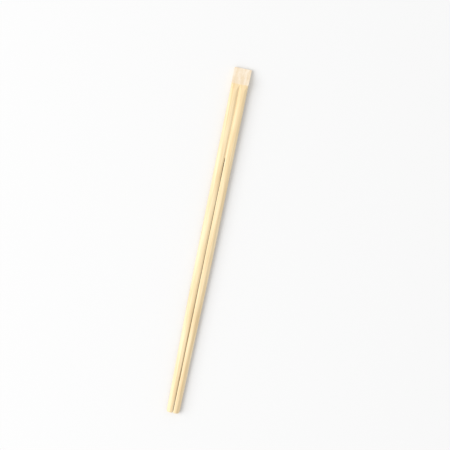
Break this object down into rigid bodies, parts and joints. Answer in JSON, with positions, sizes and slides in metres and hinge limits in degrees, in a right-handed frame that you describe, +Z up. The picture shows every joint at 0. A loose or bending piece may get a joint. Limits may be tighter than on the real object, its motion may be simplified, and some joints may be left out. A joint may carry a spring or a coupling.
{
  "type": "bamboo chopsticks",
  "caption": "Joined pair of disposable bamboo chopsticks, milled from one slat with a slanting head facet, a central groove and kerf, bevelled edges and slimmer tips.",
  "frame": {"origin": "middle of the length and width, on the surface that the pair lies on", "axes": "+X from the joined head to the tips, +Z up, away from the seat, +Y across the two sticks"},
  "size_m": [0.23, 0.0116, 0.005],
  "materials": {
    "bamboo": "planed and milled, unvarnished, matt"
  },
  "bodies": {
    "root": {"chopstick_pair": "bamboo"}
  },
  "joints": []
}
